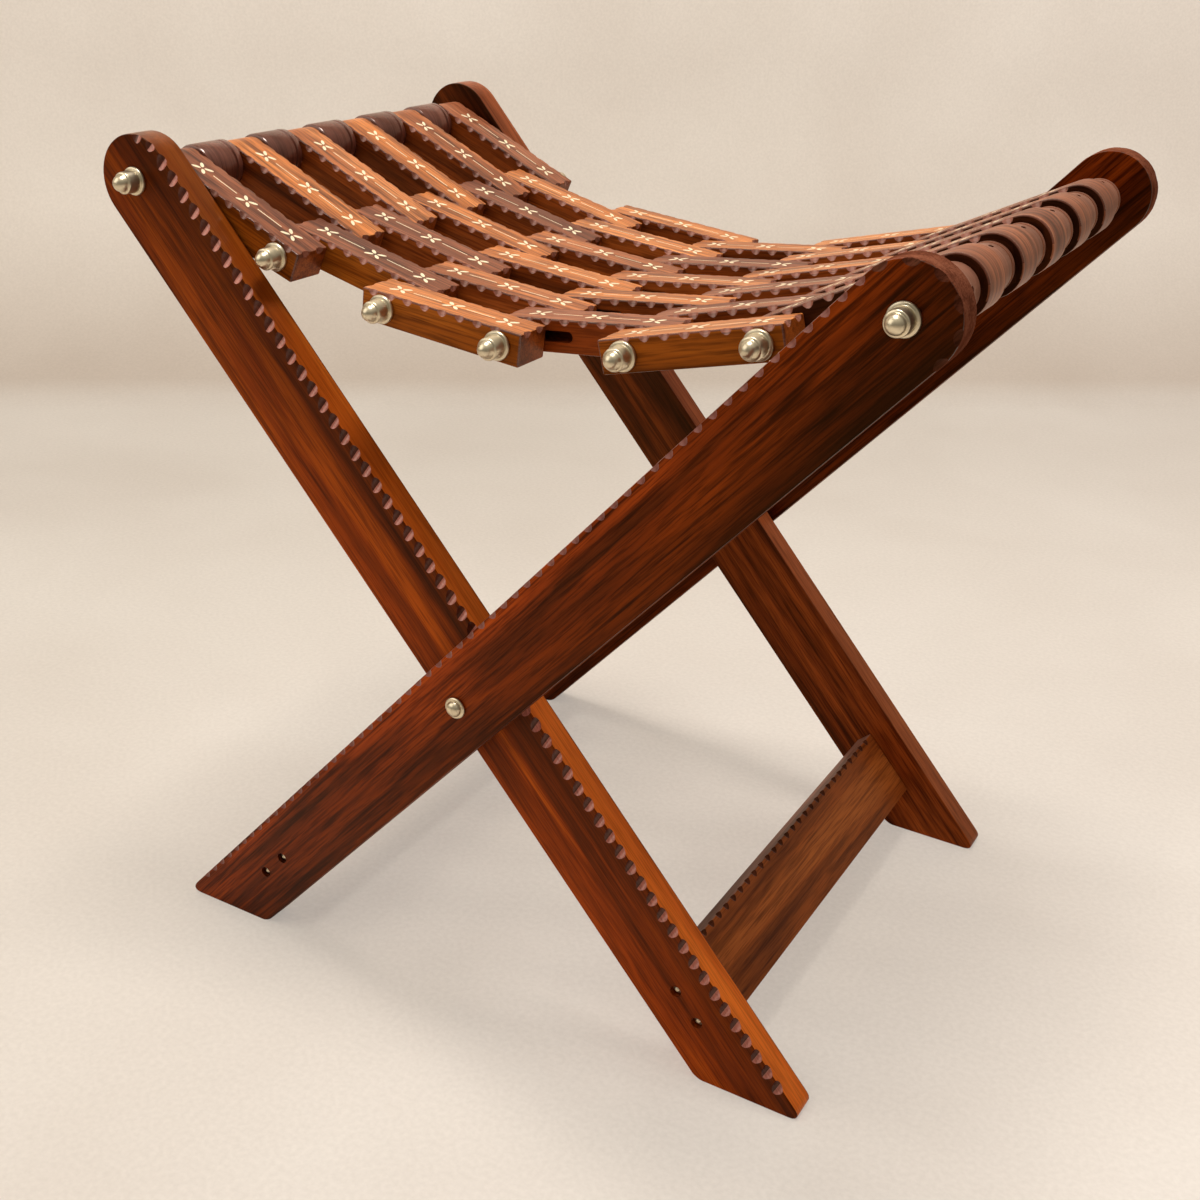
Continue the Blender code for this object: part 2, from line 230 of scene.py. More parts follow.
LEG_WOOD = wood(
    "leg_wood", (0.07, 0.01, 0.001), (0.2, 0.029, 0.002), (0.33, 0.058, 0.003),
    rough=0.3, gloss=0.14, streaks=0.6, across=(1.15, 0.95, 0.4), rise=(1.3, 1.2, 0.64),
)
LEG_SIDE_WOOD = wood(
    "leg_side_wood", (0.26, 0.042, 0.004), (0.42, 0.082, 0.008), (0.53, 0.125, 0.014),
    rough=0.28, gloss=0.25, streaks=0.25, rise=(1.45, 1.05, 0.4),
)
# Painted shade: the rear left leg and its narrow faces take darker copies of the leg finishes, for the
# seat's shade on its inner face.
PAINTED_SHADE_REAR_LEG_WOOD = wood(
    "rear_leg_painted_shade_wood", (0.03, 0.006, 0.002), (0.085, 0.015, 0.003), (0.17, 0.034, 0.006),
    rough=0.3, gloss=0.16, streaks=0.8, rise=(1.9, 0.9, 0.7),
)
PAINTED_SHADE_REAR_SIDE_WOOD = wood(
    "rear_side_painted_shade_wood", (0.15, 0.034, 0.012), (0.26, 0.064, 0.021), (0.34, 0.098, 0.036),
    rough=0.32, gloss=0.08, streaks=0.4,
)
RIGHT_LEG_WOOD = wood(
    "right_leg_wood", (0.022, 0.004, 0.001), (0.13, 0.018, 0.002), (0.24, 0.036, 0.003),
    rough=0.28, gloss=0.16, streaks=1.0, across=(0.4, 0.78, 1.4), rise=(1.3, 1.45, 0.75),
)
RIGHT_SIDE_WOOD = wood(
    "right_side_wood", (0.1, 0.03, 0.016), (0.17, 0.055, 0.031), (0.23, 0.082, 0.047),
    rough=0.34, gloss=0.0, streaks=0.4,
)
# Partly painted light: the pale pink of the cut faces is partly the cut wood and partly stands for the light
# on the scoops' lower walls.
CARVED_WOOD = wood(
    "carved_and_lit_leg_wood", (0.2, 0.054, 0.036), (0.34, 0.105, 0.075), (0.46, 0.165, 0.125),
    rough=0.22, gloss=0.8, tint=PALE_SHEEN, streaks=0.3,
)
PINK_CARVED_WOOD = wood(
    "carved_front_right", (0.12, 0.034, 0.026), (0.19, 0.06, 0.046), (0.26, 0.095, 0.075),
    rough=0.3, gloss=0.35, tint=PALE_SHEEN, streaks=0.3,
)
# Painted shade: a dark copy of the carved finish for the upper walls of the front left leg's scoops.
PAINTED_SCOOP_SHADE_WOOD = wood(
    "carved_leg_painted_shade", (0.03, 0.006, 0.003), (0.06, 0.012, 0.005), (0.1, 0.02, 0.009),
    rough=0.26, gloss=0.5, tint=PALE_SHEEN, streaks=0.3,
)
DARK_CARVED_WOOD = wood(
    "carved_right_wood", (0.03, 0.008, 0.004), (0.07, 0.018, 0.01), (0.12, 0.036, 0.022),
    rough=0.3, gloss=0.12,
)
STRETCHER_WOOD = wood(
    "stretcher_wood", (0.11, 0.024, 0.006), (0.25, 0.058, 0.011), (0.34, 0.09, 0.019),
    rough=0.34, gloss=0.25,
)
STRETCHER_TOP_WOOD = wood(
    "stretcher_top_wood", (0.11, 0.05, 0.036), (0.2, 0.085, 0.056), (0.25, 0.115, 0.08),
    rough=0.5, gloss=0.15,
)
AMBER_SIDE_WOOD = wood(
    "amber_side_wood", (0.14, 0.032, 0.003), (0.28, 0.068, 0.006), (0.38, 0.105, 0.011),
    rough=0.34, gloss=0.2,
)
RED_SIDE_WOOD = wood(
    "red_side_wood", (0.1, 0.018, 0.003), (0.2, 0.034, 0.005), (0.29, 0.058, 0.009),
    rough=0.34, gloss=0.2,
)
# Painted shade: a darker copy of the side finish for the slats behind the front ones and for every slat's
# end faces.
PAINTED_SHADE_SIDE_WOOD = wood(
    "painted_shade_side_wood", (0.09, 0.019, 0.004), (0.22, 0.046, 0.008), (0.33, 0.08, 0.014),
    rough=0.34, gloss=0.2,
)
SHADED_SIDE_WOOD = wood(
    "shaded_side_wood", (0.016, 0.004, 0.002), (0.035, 0.008, 0.003), (0.06, 0.014, 0.004),
    rough=0.4, gloss=0.15,
)
SLAT_CARVED_WOOD = wood(
    "carved_slat_wood", (0.15, 0.048, 0.03), (0.26, 0.09, 0.062), (0.37, 0.145, 0.105),
    rough=0.24, gloss=0.8, tint=PALE_SHEEN,
)
# Painted shade: a darker copy of the carved slat finish, laid on the eased edges of the slats' upper part.
SLAT_EDGE_PAINTED_SHADE_WOOD = wood(
    "slat_edge_painted_shade", (0.08, 0.022, 0.012), (0.15, 0.046, 0.027), (0.22, 0.078, 0.05),
    rough=0.26, gloss=0.6, tint=PALE_SHEEN,
)
MAUVE_WOOD = wood(
    "mauve_slat_wood", (0.14, 0.037, 0.016), (0.265, 0.081, 0.036), (0.39, 0.143, 0.07),
    rough=0.42, gloss=0.3, tint=PALE_SHEEN, streaks=0.85,
)
CHESTNUT_WOOD = wood(
    "chestnut_slat_wood", (0.21, 0.053, 0.015), (0.4, 0.118, 0.034), (0.54, 0.192, 0.062),
    rough=0.4, gloss=0.35, tint=PALE_SHEEN, streaks=0.85,
)
ORANGE_WOOD = wood(
    "orange_slat_wood", (0.27, 0.071, 0.014), (0.5, 0.154, 0.034), (0.66, 0.24, 0.068),
    rough=0.38, gloss=0.35, tint=PALE_SHEEN, streaks=0.85,
)
LEFT_SPACER_WOOD = wood(
    "left_spacer_wood", (0.09, 0.026, 0.016), (0.125, 0.038, 0.025), (0.16, 0.052, 0.035),
    rough=0.2, gloss=0.8, tint=PALE_SHEEN, streaks=0.3,
)
RIGHT_SPACER_WOOD = wood(
    "right_spacer_wood", (0.2, 0.08, 0.052), (0.25, 0.103, 0.068), (0.29, 0.125, 0.085),
    rough=0.36, gloss=0.35, streaks=0.3,
)
BRASS = metal("pale_brass", (0.66, 0.58, 0.43), 0.34)
INLAY = metal("inlay_wire", (0.94, 0.84, 0.61), 0.4, 0.2)


# Ways of working
THROUGH = 0.02
GRAIN_SHIFT = (0.37, 0.113, 0.071)
ROUND_END_MEAN = 0.013
RING_MEAN = 0.012
TURNED_ANGLE = 32.0


def deselect():
    """Let go of everything."""
    bpy.ops.object.select_all(action="DESELECT")


def take(*objects):
    """Choose these objects, the first of them active."""
    deselect()
    for item in objects:
        item.select_set(True)
    bpy.context.view_layer.objects.active = objects[0]


def settle(obj, place):
    """Put a piece where it belongs, with its place in its mesh."""
    obj.matrix_world = place
    take(obj)
    bpy.ops.object.transform_apply(location=True, rotation=True, scale=True)
    return obj


def copy_of(obj, name):
    """A copy with its own mesh."""
    made = obj.copy()
    made.data = obj.data.copy()
    made.name = name
    scene.collection.objects.link(made)
    return made


def block(name, low, high):
    """A box between two corners."""
    deselect()
    middle = [(a + b) / 2 for a, b in zip(low, high)]
    size = [b - a for a, b in zip(low, high)]
    bpy.ops.mesh.primitive_cube_add(size=1.0, location=middle, scale=size)
    made = bpy.context.active_object
    made.name = name
    bpy.ops.object.transform_apply(location=True, rotation=True, scale=True)
    return made


def pick(obj, edges=None, faces=None):
    """Open a piece for editing with the edges or faces that pass the test chosen."""
    take(obj)
    mesh = obj.data
    bpy.context.tool_settings.mesh_select_mode = (False, edges is not None, faces is not None)
    for group in (mesh.vertices, mesh.edges, mesh.polygons):
        group.foreach_set("select", [False] * len(group))
    if edges:
        for edge in mesh.edges:
            first, second = (mesh.vertices[index].co for index in edge.vertices)
            edge.select = edges(first, second)
    if faces:
        for face in mesh.polygons:
            face.select = faces(face)
    bpy.ops.object.mode_set(mode="EDIT")


def close():
    """Leave edit mode."""
    bpy.ops.object.mode_set(mode="OBJECT")


def round_edges(obj, test, reach, segments):
    """Round the edges that pass the test, starting this far from each corner."""
    pick(obj, edges=test)
    bpy.ops.mesh.bevel(
        offset_type="ABSOLUTE", offset=reach, segments=segments, affect="EDGES", clamp_overlap=False
    )
    close()


def clean(obj, distance):
    """Merge doubled points and turn the faces outwards."""
    take(obj)
    bpy.ops.object.mode_set(mode="EDIT")
    bpy.ops.mesh.select_all(action="SELECT")
    bpy.ops.mesh.remove_doubles(threshold=distance)
    bpy.ops.mesh.normals_make_consistent(inside=False)
    close()


def soften(obj, width):
    """Ease every sharp edge."""
    ease = obj.modifiers.new("ease", "BEVEL")
    ease.width = width
    ease.segments = 2
    ease.limit_method = "ANGLE"
    ease.angle_limit = math.radians(40.0)
    take(obj)
    bpy.ops.object.modifier_apply(modifier=ease.name)


def cut(obj, cutters):
    """Take the cutters out of a piece; the cut faces keep the cutters' finish."""
    take(*cutters)
    if len(cutters) > 1:
        bpy.ops.object.join()
    tool = bpy.context.active_object
    knife = obj.modifiers.new("cut", "BOOLEAN")
    knife.operation = "DIFFERENCE"
    knife.solver = "EXACT"
    knife.material_mode = "TRANSFER"
    knife.object = tool
    take(obj)
    bpy.ops.object.modifier_apply(modifier=knife.name)
    bpy.data.objects.remove(tool, do_unlink=True)


def drill(start, end, radius, sides, look):
    """A round cutter between two points; look is the finish it leaves."""
    deselect()
    start, end = Vector(start), Vector(end)
    turn = (end - start).to_track_quat("Z", "Y").to_euler()
    bpy.ops.mesh.primitive_cylinder_add(
        vertices=sides, radius=radius, depth=(end - start).length,
        location=(start + end) / 2, rotation=turn,
    )
    made = bpy.context.active_object
    bpy.ops.object.transform_apply(location=True, rotation=True, scale=True)
    made.data.materials.append(look)
    return made


def bore(x, z, radius, sides, look):
    """A cutter right through a plank or a slat."""
    return drill((x, -THROUGH, z), (x, THROUGH, z), radius, sides, look)


def gouge(edge, deep_way, thin_way, deep, thin, radius, look, slant=(0.0, 0.0, 0.0)):
    """Cutter for one thumbnail notch that runs off an edge, deep on one face and thin on the other."""
    edge, deep_way, thin_way = Vector(edge), Vector(deep_way), Vector(thin_way)
    far = edge + deep_way * deep + Vector(slant)
    near = edge + thin_way * thin - Vector(slant) / 2
    way = (near - far).normalized()
    out = -(deep_way * thin + thin_way * deep).normalized()
    middle = (far + near) / 2 + out * radius
    return drill(middle - way * radius * 2, middle + way * radius * 2, radius, 24, look)


def gouge_row(edge, along, count, pitch, deep_way, thin_way, deep, thin, radius, look, slant=0.0):
    """Cutters for a row of notches down an edge."""
    made = gouge(edge, deep_way, thin_way, deep, thin, radius, look, Vector(along) * slant)
    row = made.modifiers.new("row", "ARRAY")
    row.count = count
    row.use_relative_offset = False
    row.use_constant_offset = True
    row.constant_offset_displace = Vector(along) * pitch
    row.use_merge_vertices = False
    take(made)
    bpy.ops.object.modifier_apply(modifier=row.name)
    return made


def paint(obj, look, test):
    """Give the faces that pass the test another finish."""
    if look.name not in obj.data.materials:
        obj.data.materials.append(look)
    pick(obj, faces=test)
    obj.active_material_index = obj.data.materials.find(look.name)
    bpy.ops.object.material_slot_assign()
    close()


def lay_grain(obj, place, number, spot_way):
    """Store where each point lies along, across and through its piece, so that the figure follows it."""
    back = place.inverted()
    shift = Vector([step * number for step in GRAIN_SHIFT])
    values = []
    for vertex in obj.data.vertices:
        values += list(spot_way(back @ vertex.co) + shift)
    layer = obj.data.attributes.new("grain", "FLOAT_VECTOR", "POINT")
    layer.data.foreach_set("vector", values)


def upright(spot):
    """Figure that runs along local Z."""
    return Vector((spot.z, spot.x, spot.y))


def lengthwise(spot):
    """Figure that runs along local X and bends round an end past the hinge."""
    if spot.x > 0.0:
        return spot
    round_end = math.atan2(-spot.x, spot.z) * ROUND_END_MEAN
    return Vector((-round_end, spot.y, math.hypot(spot.x, spot.z)))


def crosswise(spot):
    """Figure that runs along local Y."""
    return Vector((spot.y, spot.x, spot.z))


def around(spot):
    """Figure that runs round a ring."""
    return Vector((math.atan2(spot.x, spot.z) * RING_MEAN, spot.y, math.hypot(spot.x, spot.z)))


def lay_value(obj, place, name, value_at):
    """Store a value for each point of a piece, from where the point lies in it."""
    back = place.inverted()
    values = [value_at(back @ vertex.co) for vertex in obj.data.vertices]
    obj.data.attributes.new(name, "FLOAT", "POINT").data.foreach_set("value", values)


def smooth(obj, degrees=35.0, keep_flat=True):
    """Shade a piece smooth but for its sharp edges, with its broad faces kept flat."""
    take(obj)
    bpy.ops.object.shade_smooth_by_angle(angle=math.radians(degrees))
    if not keep_flat:
        return
    flat = obj.modifiers.new("flat", "WEIGHTED_NORMAL")
    flat.keep_sharp = True
    bpy.ops.object.modifier_apply(modifier=flat.name)


def crisp(obj, look):
    """Keep the rims of the carved faces sharp."""
    pick(obj, faces=lambda f: obj.data.materials[f.material_index] == look)
    bpy.ops.mesh.region_to_loop()
    bpy.ops.mesh.mark_sharp()
    close()


def seat(obj, body, slot, *nodes):
    """Hand a finished piece to its body."""
    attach(obj, body)
    if nodes:
        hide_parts(*nodes)


def turned(name, profile, sides, look, hollow=False):
    """A piece turned about Y from (depth, radius) points, a ring when hollow."""
    deselect()
    depth, radius = profile[0]
    fill = "NOTHING" if hollow else "NGON"
    bpy.ops.mesh.primitive_circle_add(
        vertices=sides, radius=radius, fill_type=fill,
        location=(0.0, depth, 0.0), rotation=(math.pi / 2, 0.0, 0.0),
    )
    made = bpy.context.active_object
    made.name = name
    bpy.ops.object.transform_apply(location=True, rotation=True, scale=True)
    bpy.context.tool_settings.mesh_select_mode = (True, False, False)
    bpy.ops.object.mode_set(mode="EDIT")
    bpy.ops.mesh.select_all(action="SELECT")
    for next_depth, next_radius in profile[1:]:
        step = (0.0, next_depth - depth, 0.0)
        bpy.ops.mesh.extrude_region_move(TRANSFORM_OT_translate={"value": step})
        grow = next_radius / radius
        bpy.ops.transform.resize(value=(grow, 1.0, grow), center_override=(0.0, next_depth, 0.0))
        depth, radius = next_depth, next_radius
    close()
    clean(made, 0.00002)
    made.data.materials.append(look)
    smooth(made, TURNED_ANGLE, keep_flat=False)
    return made


# Frames
EDGE_EASE = 0.0009
TOE_ROUND = 0.0085
HEEL_ROUND = 0.004
SCREW_HOLE_RADIUS = 0.0032
LEG_NOTCH_PITCH = 0.0098
STRETCHER_NOTCH_PITCH = 0.0092
STRETCHER_NOTCH = (0.0034, 0.0016, 0.003)
NOTCH_MARGIN = 0.012
FIRST_LEG_NOTCH = 0.004
FIRST_CROWN_NOTCH = 0.006
SCOOP_PAINTED_SHADE_TURN = 0.12


def leg(name, body, face, looks, carve, crown_carve, shade=None, crown_look=None):
    """A plank leg: round top, level foot, bored for rod, pivot and screws, gouged along its upper edge.

    Carve gives how far a notch runs over the broad and the narrow face, its radius and its slant.
    Crown_carve gives the count and spacing of the notches round the top and the same three sizes.
    Shade is painted shade, the dark finish of the upper half of each scoop; crown_look is the finish of the
    notches round the top.
    """
    side = 1.0 if body == "right_frame" else -1.0
    inner, outer = (OUTER_IN, OUTER_OUT) if side > 0 else (INNER_IN, INNER_OUT)
    broad, narrow, carved = looks
    half = LEG_WIDTH / 2
    thick = LEG_THICKNESS / 2
    foot = PIVOT_HEIGHT / math.cos(LEG_LEAN)
    crown = TOP_ROD + half
    made = block(name, (-half, -thick, -foot - half), (half, thick, crown))

    def round_top(a, b):
        return min(a.z, b.z) > crown - 0.001 and abs(a.x - b.x) < 0.001

    round_edges(made, round_top, half * 0.998, 12)
    pick(made, faces=lambda f: True)
    up = Vector((-side * math.sin(LEG_LEAN), 0.0, math.cos(LEG_LEAN)))
    heel = Vector((0.0, 0.0, -foot))
    bpy.ops.mesh.bisect(plane_co=heel, plane_no=up, use_fill=True, clear_inner=True)
    close()
    clean(made, 0.0002)

    def sole(a, b):
        return max(up.dot(a - heel), up.dot(b - heel)) < 0.0001 and abs(a.x - b.x) < 0.001

    for toe, reach in ((-side, TOE_ROUND), (side, HEEL_ROUND)):
        round_edges(made, lambda a, b: sole(a, b) and a.x * toe > 0, reach, 5)
    soften(made, EDGE_EASE)
    made.data.materials.append(broad)
    paint(made, narrow, lambda f: abs(f.normal.y) < 0.3)
    bores = [(TOP_ROD, HOLE_RADIUS), (0.0, BOLT_RADIUS + TOUCH)]
    for sign in (-1, 1):
        bores.append((sign * SCREW_SPACING / 2 - STRETCHER_DROP, SCREW_HOLE_RADIUS))
    cut(made, [bore(0.0, z, radius, 24, broad) for z, radius in bores])
    edge_x = -side * half
    edge_y = face * thick
    into_side = (0.0, -face, 0.0)
    length = TOP_ROD + foot + half * math.tan(LEG_LEAN) - NOTCH_MARGIN
    cutters = [
        gouge_row(
            (edge_x, edge_y, TOP_ROD - FIRST_LEG_NOTCH), (0.0, 0.0, -1.0),
            int(length / LEG_NOTCH_PITCH), LEG_NOTCH_PITCH,
            (side, 0.0, 0.0), into_side, *carve[:3], carved, carve[3],
        )
    ]
    for count in range(crown_carve[0]):
        turn = (FIRST_CROWN_NOTCH + crown_carve[1] * count) / half
        out = Vector((-side * math.cos(turn), 0.0, math.sin(turn)))
        spot = Vector((0.0, edge_y, TOP_ROD)) + out * half
        cutters.append(gouge(spot, -out, into_side, *crown_carve[2:], crown_look or carved))
    cut(made, cutters)
    crisp(made, carved)
    if crown_look:
        crisp(made, crown_look)
    # Painted shade: the carved faces that turn down the leg take the dark finish.
    if shade:
        carved_index = made.data.materials.find(carved.name)
        paint(made, shade, lambda f: f.material_index == carved_index and f.normal.z < SCOOP_PAINTED_SHADE_TURN)
    place = FRAME_PLACE[body] @ Matrix.Translation((0.0, face * (inner + outer) / 2, 0.0))
    settle(made, place)
    smooth(made)
    lay_grain(made, place, len(name), upright)
    lay_value(made, place, "edge", lambda spot: 0.5 - side * spot.x / LEG_WIDTH)
    # The rise value drives the painted light and shade along the leg.
    lay_value(made, place, "rise", lambda spot: (spot.z + foot) / (crown + foot))
    seat(made, body, "leg_wood", name.replace("carved_", ""))


LEFT_LOOKS = (LEG_WOOD, LEG_SIDE_WOOD, CARVED_WOOD)
# The rear left leg's own finishes are painted shade.
REAR_LOOKS = (PAINTED_SHADE_REAR_LEG_WOOD, PAINTED_SHADE_REAR_SIDE_WOOD, CARVED_WOOD)
RIGHT_LOOKS = (RIGHT_LEG_WOOD, RIGHT_SIDE_WOOD, PINK_CARVED_WOOD)
DEEP = (0.0055, 0.0029, 0.0037, 0.0015)
FINE = (0.0028, 0.0011, 0.0052, 0.0)
FLUTED = (0.003, 0.0006, 0.0037, 0.0)
DEEP_CROWN = (2, LEG_NOTCH_PITCH, 0.004, 0.0017, 0.0048)
FLUTED_CROWN = (2, LEG_NOTCH_PITCH, *FLUTED[:3])
SOFT_WAVES = (6, 0.0135, 0.003, 0.0018, 0.0075)
leg("carved_leg_front_left", "left_frame", -1.0, LEFT_LOOKS, DEEP, DEEP_CROWN, PAINTED_SCOOP_SHADE_WOOD)
leg("carved_leg_rear_left", "left_frame", 1.0, REAR_LOOKS, FLUTED, FLUTED_CROWN)
for name, face in (("carved_leg_front_right", -1.0), ("carved_leg_rear_right", 1.0)):
    leg(name, "right_frame", face, RIGHT_LOOKS, FINE, SOFT_WAVES, crown_look=DARK_CARVED_WOOD)


def stretcher(name, body, leg_in, node):
    """Cross plank with a gouged upper edge."""
    side = 1.0 if body == "right_frame" else -1.0
    half = leg_in - TOUCH
    thick = STRETCHER_THICKNESS / 2
    wide = STRETCHER_WIDTH / 2
    made = block(name, (-thick, -half, -wide), (thick, half, wide))
    soften(made, EDGE_EASE)
    made.data.materials.append(STRETCHER_WOOD)
    paint(made, STRETCHER_TOP_WOOD, lambda f: f.normal.z > 0.7)
    count = int((2 * half - NOTCH_MARGIN) / STRETCHER_NOTCH_PITCH)
    start = -STRETCHER_NOTCH_PITCH * (count - 1) / 2
    row = gouge_row(
        (-side * thick, start, wide), (0.0, 1.0, 0.0), count, STRETCHER_NOTCH_PITCH,
        (0.0, 0.0, -1.0), (side, 0.0, 0.0), *STRETCHER_NOTCH, DARK_CARVED_WOOD,
    )
    cut(made, [row])
    crisp(made, DARK_CARVED_WOOD)
    place = FRAME_PLACE[body] @ Matrix.Translation((0.0, 0.0, -STRETCHER_DROP))
    settle(made, place)
    smooth(made)
    lay_grain(made, place, len(name), crosswise)
    seat(made, body, "stretcher_wood", node)


stretcher("carved_stretcher_left", "left_frame", INNER_IN, "stretcher_left")
stretcher("carved_stretcher_right", "right_frame", OUTER_IN, "stretcher_right")


def screws(name, body, leg_in):
    """Sunk screws in the ends of a stretcher."""
    tip = leg_in + LEG_THICKNESS
    profile = [
        (leg_in - 0.004, 0.0029), (tip - 0.0032, 0.0029), (tip - 0.003, 0.0026), (tip - 0.003, 0.0019),
        (tip - 0.002, 0.0017), (tip - 0.0015, 0.0012), (tip - 0.0013, 0.0005),
    ]
    one = turned(name, profile, 20, BRASS)
    row = []
    for turn in (0.0, math.pi):
        for sign in (-1, 1):
            spot = Matrix.Translation((0.0, 0.0, sign * SCREW_SPACING / 2 - STRETCHER_DROP))
            place = FRAME_PLACE[body] @ spot @ Matrix.Rotation(turn, 4, "Z")
            row.append(settle(copy_of(one, "screw"), place))
    bpy.data.objects.remove(one, do_unlink=True)
    take(*row)
    bpy.ops.object.join()
    made = bpy.context.active_object
    made.name = name
    seat(made, body, "brass")


screws("screws_left", "left_frame", INNER_IN)
screws("screws_right", "right_frame", OUTER_IN)


# Rods with domed nuts
DOME_BASE, DOME_HEIGHT, DOME_RADIUS = 9.1, 4.8, 4.4


def nut(seat_depth):
    """Profile of a flanged domed nut from its seat to its tip, in millimetres."""
    steps = [
        (0.0, 7.0), (0.25, 7.3), (1.1, 7.3), (1.55, 7.05), (1.75, 6.6), (1.85, 6.0), (2.1, 5.8),
        (8.3, 5.6), (8.7, 5.5), (9.0, 5.2), (9.15, 4.6),
    ]
    for turn in range(6, 86, 7):
        rise = math.radians(turn)
        steps.append((DOME_BASE + DOME_HEIGHT * math.sin(rise), DOME_RADIUS * math.cos(rise)))
    return [(seat_depth + TOUCH + depth / 1000, radius / 1000) for depth, radius in steps]


def rod(name, half):
    """Rod with a nut on each end, about the origin."""
    end = [(half + TOUCH, ROD_RADIUS)] + nut(half)
    return turned(name, [(-depth, radius) for depth, radius in end[::-1]] + end, 56, BRASS)


def place_rod(made, spot, body, node):
    """Set a rod on its axis."""
    settle(made, Matrix.Translation(spot))
    seat(made, body, "brass", node)


top_left = FRAME_PLACE["left_frame"] @ Vector((0.0, 0.0, TOP_ROD))
top_right = FRAME_PLACE["right_frame"] @ Vector((0.0, 0.0, TOP_ROD))
place_rod(rod("left_rod_and_nuts", INNER_OUT), top_left, "left_frame", "top_rod_left")
place_rod(rod("right_rod_and_nuts", OUTER_OUT), top_right, "right_frame", "top_rod_right")
seat_rod = rod("seat_rod", SEAT_HALF)
near = Vector((0.0, 0.0, 0.0))
middle_far = Vector((SLAT_PITCH, 0.0, 0.0))
for number, row, spot in (
    (1, 1, Vector((END_PITCH, 0.0, 0.0))), (2, 3, near), (3, 3, middle_far), (4, 5, middle_far), (5, 5, near)
):
    made = copy_of(seat_rod, f"rod_and_nuts_{number}")
    place_rod(made, ROW_PLACE[row] @ spot, f"row_{row}", f"seat_rod_{number}")
bpy.data.objects.remove(seat_rod, do_unlink=True)


def pivot_bolt(name, turn, node):
    """Domed bolt through a pair of legs, with a plain nut inside."""
    face = OUTER_OUT + TOUCH
    back = INNER_IN - TOUCH
    profile = [
        (back - 0.004, 0.0005), (back - 0.004, 0.0047), (back - 0.0036, 0.0051), (back - 0.0004, 0.0052),
        (back, 0.0049), (back, BOLT_RADIUS), (face, BOLT_RADIUS), (face, 0.0055), (face + 0.0003, 0.0058),
        (face + 0.001, 0.0058), (face + 0.0014, 0.0054), (face + 0.0015, 0.0043), (face + 0.0026, 0.0041),
        (face + 0.0036, 0.0034), (face + 0.0043, 0.0023), (face + 0.0046, 0.0012), (face + 0.0047, 0.0004),
    ]
    made = turned(name, profile, 32, BRASS)
    settle(made, PIVOT @ Matrix.Rotation(turn, 4, "Z"))
    seat(made, "right_frame", "brass", node)


pivot_bolt("pivot_front", math.pi, "pivot_bolt_front")
pivot_bolt("pivot_rear", 0.0, "pivot_bolt_rear")


# Spacer rings on the top rods
RING_SIDES = 48
LEFT_GROOVE = 0.005
RIGHT_GROOVE = 0.0045
RIGHT_SHOULDER = 0.0021
PIN_HOLE = (0.009, 0.014)
PIN_HOLE_RADIUS = 0.0013
PIN_HOLE_LIFT = math.radians(78.0)


def slot_depth(slot):
    """Middle of a slot, counted from the front."""
    return (slot - (SLOTS + 1) / 2) * SLOT_PITCH


def spacer_profile(radius, groove, shoulder=0.0, outer=None):
    """Ring with eased rims and a turned line.

    A shoulder sets the rims in from the ring's ends; outer adds a slim neck that reaches a leg.
    """
    end = SLAT_THICKNESS / 2 + SLAT_GAP - TOUCH
    half = end - shoulder
    hub = radius - 0.0045
    line = half - groove
    profile = [(-end, HOLE_RADIUS)]
    if shoulder:
        profile += [(-end, hub), (-half, hub)]
    profile += [
        (-half, radius - 0.0012), (-half + 0.0004, radius - 0.0004), (-half + 0.0012, radius),
        (line - 0.0009, radius), (line - 0.0004, radius - 0.001), (line + 0.0004, radius - 0.001),
        (line + 0.0009, radius), (half - 0.0012, radius), (half - 0.0004, radius - 0.0004),
        (half, radius - 0.0012),
    ]
    if shoulder:
        profile += [(half, hub), (end, hub)]
    if outer:
        profile += [(end, SPACER_NECK_RADIUS), (outer, SPACER_NECK_RADIUS), (outer, HOLE_RADIUS)]
    else:
        profile += [(end, HOLE_RADIUS)]
    return profile + [(-end, HOLE_RADIUS)]


def place_spacer(made, frame_name, slot, turn, slot_name, node):
    """Set a ring on its rod."""
    place = FRAME_PLACE[frame_name] @ Matrix.Translation((0.0, slot_depth(slot), TOP_ROD))
    settle(made, place @ Matrix.Rotation(turn, 4, "Z"))
    lay_grain(made, place, slot, around)
    seat(made, frame_name, slot_name, node)


left_profile = spacer_profile(LEFT_SPACER_RADIUS, LEFT_GROOVE)
left_ring = turned("left_ring", left_profile, RING_SIDES, LEFT_SPACER_WOOD, True)
for count, slot in enumerate(range(2, SLOTS, 2), 1):
    made = copy_of(left_ring, f"turned_left_spacer_{count}")
    place_spacer(made, "left_frame", slot, 0.0, "left_spacer_wood", f"left_spacer_{count}")
bpy.data.objects.remove(left_ring, do_unlink=True)


def right_ring(name, outer):
    """Paler ring with a small pin hole on its upper side."""
    profile = spacer_profile(RIGHT_SPACER_RADIUS, RIGHT_GROOVE, RIGHT_SHOULDER, outer)
    made = turned(name, profile, RING_SIDES, RIGHT_SPACER_WOOD, True)
    lift = PIN_HOLE_LIFT + LEG_LEAN
    out = Vector((math.cos(lift), 0.0, math.sin(lift)))
    # Painted shade: the inside of the pin hole takes the dark left spacer finish.
    pin = drill(out * PIN_HOLE[0], out * PIN_HOLE[1], PIN_HOLE_RADIUS, 14, LEFT_SPACER_WOOD)
    cut(made, [pin])
    smooth(made, TURNED_ANGLE, keep_flat=False)
    return made


